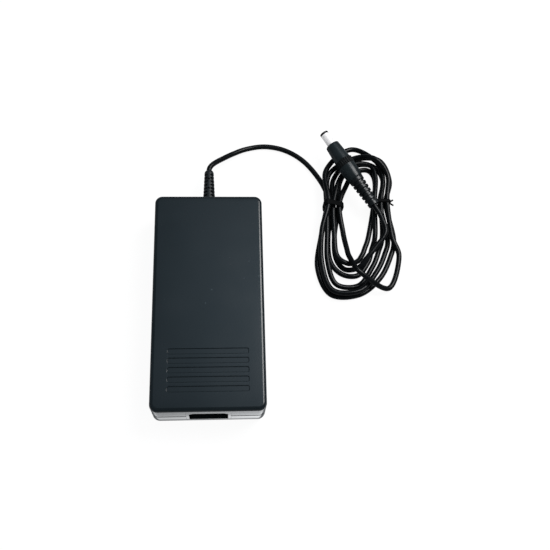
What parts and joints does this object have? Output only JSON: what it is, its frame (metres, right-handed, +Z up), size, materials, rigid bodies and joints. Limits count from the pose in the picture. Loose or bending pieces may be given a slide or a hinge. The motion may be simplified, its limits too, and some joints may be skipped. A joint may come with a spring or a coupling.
{
  "type": "power adapter",
  "caption": "External mains power adapter: a long flat case with a mains socket in one end and an output cord, tied in a hank, that ends in a barrel plug.",
  "frame": {"origin": "on the surface that the case stands on, under the middle of the case", "axes": "+Y along the case from the mains socket to the output cord, +Z up, +X to the side on which the hank lies"},
  "size_m": [0.1711, 0.2066, 0.031],
  "materials": {
    "case_black": "moulded plastic with a satin sheen, fine scuffs on the roof",
    "foot_rubber": "matt rubber",
    "screw_steel": "zinc-plated steel",
    "inlet_black": "matt moulded plastic",
    "pin_nickel": "nickel-plated brass",
    "sheet_film": "insulating film",
    "board_green": "glass-fibre board under green lacquer",
    "fuse_glass": "glass tube with metal caps",
    "box_yellow": "plastic case",
    "ferrite": "sintered ferrite",
    "copper_wire": "enamelled copper wire",
    "chip_black": "moulded epoxy",
    "can_sleeve": "shrunk sleeve over aluminium",
    "can_sleeve_green": "shrunk sleeve over aluminium",
    "sink_aluminium": "bare aluminium",
    "bobbin_black": "moulded plastic",
    "winding_tape": "yellow polyester tape",
    "disc_blue": "dipped ceramic",
    "chip_white": "moulded plastic",
    "lead_red": "insulated wire",
    "cord_black": "soft vinyl with a satin sheen",
    "tie_black": "plastic band",
    "barrel_nickel": "bright nickel plating",
    "sleeve_brass": "plated brass"
  },
  "bodies": {
    "root": {"top_cover": "case_black", "bottom_cover": "case_black", "rubber_feet": "foot_rubber", "case_screws": "screw_steel", "inlet_housing": "inlet_black", "line_pin": "pin_nickel", "neutral_pin": "pin_nickel", "earth_pin": "pin_nickel", "insulating_sheet": "sheet_film", "circuit_board": "board_green", "fuse": "fuse_glass", "noise_capacitor": "box_yellow", "choke_core": "ferrite", "choke_windings": "copper_wire", "bridge_rectifier": "chip_black", "reservoir_capacitor": "can_sleeve", "primary_heat_sink": "sink_aluminium", "switch_transistor": "chip_black", "transformer_core": "ferrite", "transformer_bobbin": "bobbin_black", "transformer_winding": "winding_tape", "safety_capacitor": "disc_blue", "optocoupler": "chip_white", "control_chip": "chip_black", "secondary_heat_sink": "sink_aluminium", "output_diodes": "chip_black", "output_capacitors": "can_sleeve_green", "output_choke": "ferrite", "heat_spreader": "sink_aluminium", "output_leads": "lead_red", "cord_relief": "cord_black", "power_cord": "cord_black", "cord_hank": "cord_black", "wide_tie": "tie_black", "twist_tie": "tie_black", "plug_tail": "cord_black", "plug_taper": "cord_black", "plug_grip": "cord_black", "plug_barrel": "barrel_nickel", "plug_insulator": "chip_black", "plug_sleeve": "sleeve_brass"}
  },
  "joints": []
}
